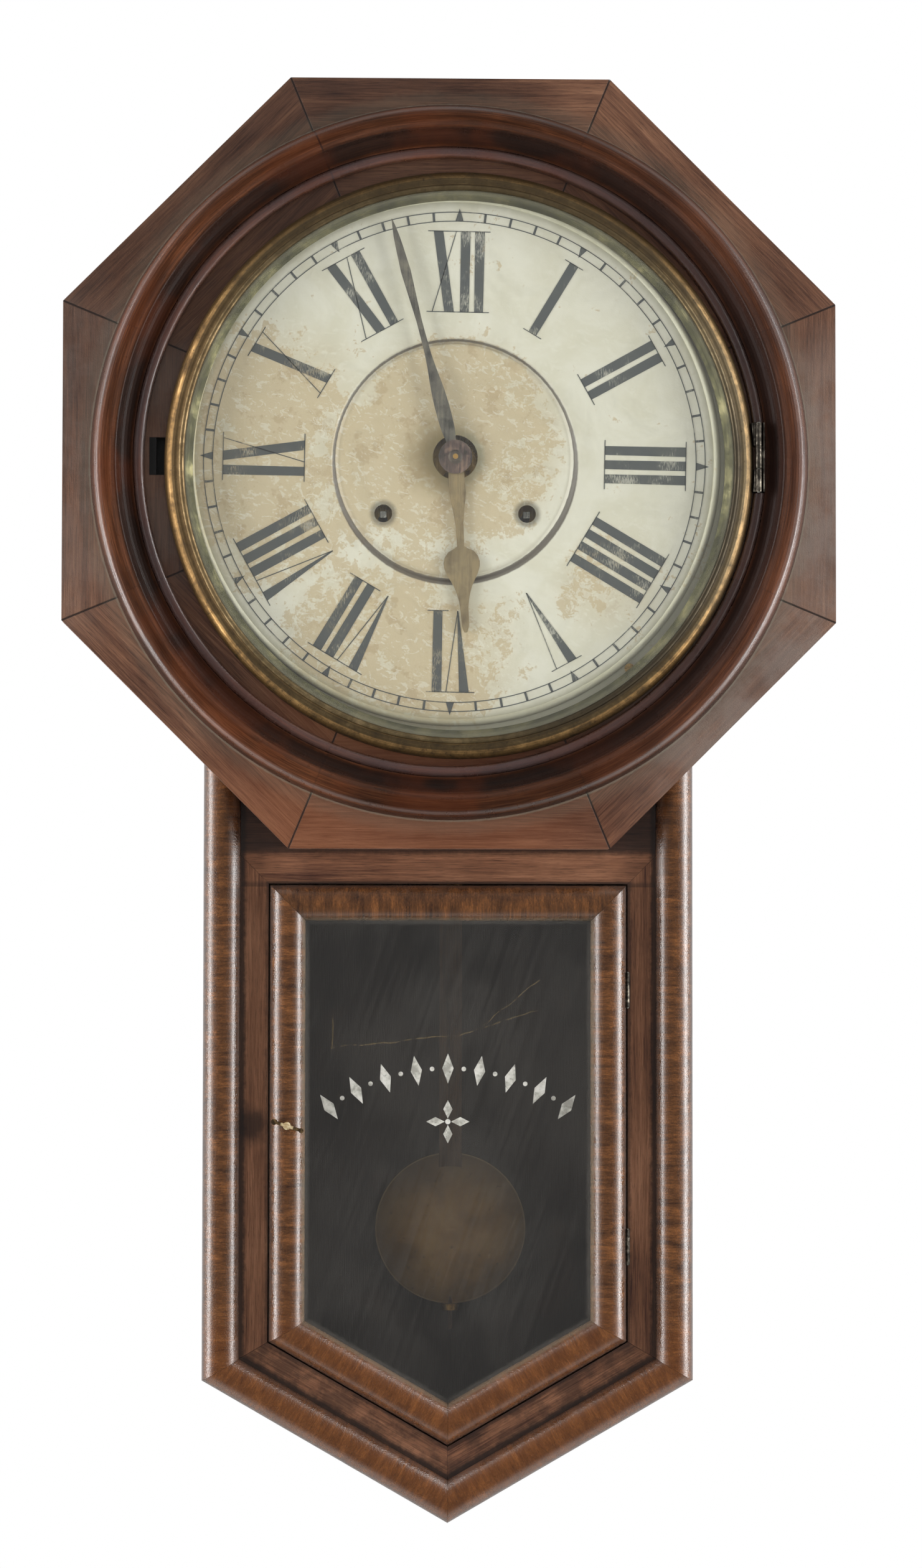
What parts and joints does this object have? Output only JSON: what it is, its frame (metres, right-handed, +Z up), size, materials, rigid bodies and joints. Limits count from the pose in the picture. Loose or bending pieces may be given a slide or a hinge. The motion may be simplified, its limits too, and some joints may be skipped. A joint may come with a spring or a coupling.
{
  "type": "wall regulator clock",
  "caption": "Long-drop octagon wall clock with a hinged brass bezel, a glazed pendulum door, roman numerals and a spring-driven striking movement.",
  "frame": {"origin": "on the wall plane, behind the centre of the octagon head", "axes": "X to the right seen from the front, Y from the front towards the wall, Z up"},
  "size_m": [0.435, 0.128, 0.813],
  "materials": {
    "case_wood": "satin",
    "panel_wood": "satin",
    "pine_board": "matte",
    "dial_paint": "matte",
    "aged_brass": "satin",
    "plate_brass": "satin",
    "hand_bronze": "satin",
    "steel": "satin",
    "blued_spring": "satin",
    "clear_glass": "gloss"
  },
  "bodies": {
    "case": {"backboard": "pine_board", "left_side_board": "case_wood", "right_side_board": "case_wood", "top_board": "case_wood", "lower_boards": "case_wood", "front_panel": "panel_wood", "trunk_side_mouldings": "case_wood", "trunk_lower_mouldings": "case_wood", "octagon_frame": "case_wood", "ring_moulding": "case_wood", "hanger_plate": "steel", "movement_blocks": "pine_board", "case_screws": "steel", "dial_pan": "dial_paint", "fixed_hinge_leaves": "aged_brass", "hinge_pins": "steel", "back_plate": "plate_brass", "front_plate": "plate_brass", "movement_pillars": "plate_brass", "suspension_cock": "plate_brass", "time_mainspring": "blued_spring", "strike_mainspring": "blued_spring", "gong_base": "steel", "gong_coil": "blued_spring"},
    "bezel": {"bezel_ring": "aged_brass", "bezel_glass": "clear_glass", "sight_ring": "aged_brass", "bezel_hinge_leaf": "aged_brass"},
    "door": {"door_stiles": "case_wood", "door_rails": "case_wood", "door_glass": "clear_glass", "glazing_strips": "pine_board", "door_hinge_leaves": "aged_brass"},
    "latch": {"latch_handle": "aged_brass", "latch_tongue": "aged_brass"},
    "minute": {"centre_wheel": "plate_brass", "minute_hand": "hand_bronze", "hand_nut": "hand_bronze"},
    "hour": {"hour_wheel": "plate_brass", "hour_hand": "hand_bronze"},
    "minute_reducer": {"minute_wheel": "plate_brass"},
    "time_great": {"time_great_wheel": "plate_brass", "time_click": "steel"},
    "time_arbor": {"time_winding_arbor": "steel"},
    "time_second": {"time_second_wheel": "plate_brass"},
    "third": {"third_wheel": "plate_brass"},
    "escape": {"escape_wheel": "plate_brass"},
    "anchor_lever": {"anchor": "steel", "crutch": "steel"},
    "pendulum": {"suspension_spring": "steel", "pendulum_rod": "case_wood", "pendulum_bob": "aged_brass", "rating_nut": "aged_brass"},
    "strike_great": {"strike_great_wheel": "plate_brass", "strike_click": "steel", "count_wheel": "plate_brass"},
    "strike_arbor": {"strike_winding_arbor": "steel"},
    "strike_second": {"strike_second_wheel": "plate_brass"},
    "strike_third": {"strike_third_wheel": "plate_brass"},
    "hammer": {"strike_hammer": "steel"}
  },
  "joints": [
    {"name": "minute_hand_turn", "type": "hinge", "parent": "case", "child": "minute", "pos_m": [0.003, -0.117, 0.0025], "axis": [0, 1, 0], "continuous": true},
    {"name": "hour_hand_turn", "type": "hinge", "parent": "case", "child": "hour", "pos_m": [0.003, -0.115, 0.0025], "axis": [0, 1, 0], "continuous": true},
    {"name": "minute_wheel_turn", "type": "hinge", "parent": "case", "child": "minute_reducer", "pos_m": [0.0138, -0.081, -0.01037], "axis": [0, 1, 0], "continuous": true},
    {"name": "time_second_turn", "type": "hinge", "parent": "case", "child": "time_second", "pos_m": [0.02345, -0.073, -0.00226], "axis": [0, 1, 0], "continuous": true},
    {"name": "time_great_turn", "type": "hinge", "parent": "case", "child": "time_great", "pos_m": [0.0434, -0.07, -0.0293], "axis": [0, 1, 0], "continuous": true},
    {"name": "third_wheel_turn", "type": "hinge", "parent": "case", "child": "third", "pos_m": [0.01228, -0.056, 0.01995], "axis": [0, 1, 0], "continuous": true},
    {"name": "escape_wheel_turn", "type": "hinge", "parent": "case", "child": "escape", "pos_m": [0.003, -0.05, 0.03593], "axis": [0, 1, 0], "continuous": true},
    {"name": "time_winding", "type": "hinge", "parent": "time_great", "child": "time_arbor", "pos_m": [0.0434, -0.07, -0.0293], "axis": [0, 1, 0], "range_deg": [0, 3600]},
    {"name": "pendulum_swing", "type": "hinge", "parent": "case", "child": "pendulum", "pos_m": [0.003, -0.027, 0.06056], "axis": [0, 1, 0], "range_deg": [-3, 3]},
    {"name": "anchor_rock", "type": "hinge", "parent": "case", "child": "anchor_lever", "pos_m": [0.003, -0.05, 0.06056], "axis": [0, 1, 0], "range_deg": [-3, 3]},
    {"name": "strike_great_turn", "type": "hinge", "parent": "case", "child": "strike_great", "pos_m": [-0.0374, -0.07, -0.0293], "axis": [0, 1, 0], "continuous": true},
    {"name": "strike_second_turn", "type": "hinge", "parent": "case", "child": "strike_second", "pos_m": [-0.0287, -0.073, 0.00315], "axis": [0, 1, 0], "continuous": true},
    {"name": "strike_third_turn", "type": "hinge", "parent": "case", "child": "strike_third", "pos_m": [-0.02575, -0.056, 0.0199], "axis": [0, 1, 0], "continuous": true},
    {"name": "strike_winding", "type": "hinge", "parent": "strike_great", "child": "strike_arbor", "pos_m": [-0.0374, -0.07, -0.0293], "axis": [0, 1, 0], "range_deg": [0, 3600]},
    {"name": "hammer_lift", "type": "hinge", "parent": "case", "child": "hammer", "pos_m": [-0.006, -0.043, -0.0495], "axis": [0, 1, 0], "range_deg": [0, 12]},
    {"name": "bezel_open", "type": "hinge", "parent": "case", "child": "bezel", "pos_m": [0.1733, -0.121, -0.002], "axis": [0, 0, 1], "range_deg": [0, 90]},
    {"name": "door_open", "type": "hinge", "parent": "case", "child": "door", "pos_m": [0.1012, -0.094, -0.369], "axis": [0, 0, 1], "range_deg": [0, 110]},
    {"name": "latch_turn", "type": "hinge", "parent": "door", "child": "latch", "pos_m": [-0.0905, -0.093, -0.373], "axis": [0, 1, 0], "range_deg": [0, 90]}
  ],
  "couplings": [
    {"joint": "hour_hand_turn", "follows": "minute_hand_turn", "ratio": 0.083333},
    {"joint": "minute_wheel_turn", "follows": "minute_hand_turn", "ratio": -0.33333},
    {"joint": "time_second_turn", "follows": "minute_hand_turn", "ratio": -0.25},
    {"joint": "time_great_turn", "follows": "minute_hand_turn", "ratio": 0.041667},
    {"joint": "third_wheel_turn", "follows": "minute_hand_turn", "ratio": -8.5},
    {"joint": "escape_wheel_turn", "follows": "minute_hand_turn", "ratio": 85},
    {"joint": "anchor_rock", "follows": "pendulum_swing", "ratio": 1},
    {"joint": "strike_second_turn", "follows": "strike_great_turn", "ratio": -6},
    {"joint": "strike_third_turn", "follows": "strike_great_turn", "ratio": 45}
  ]
}
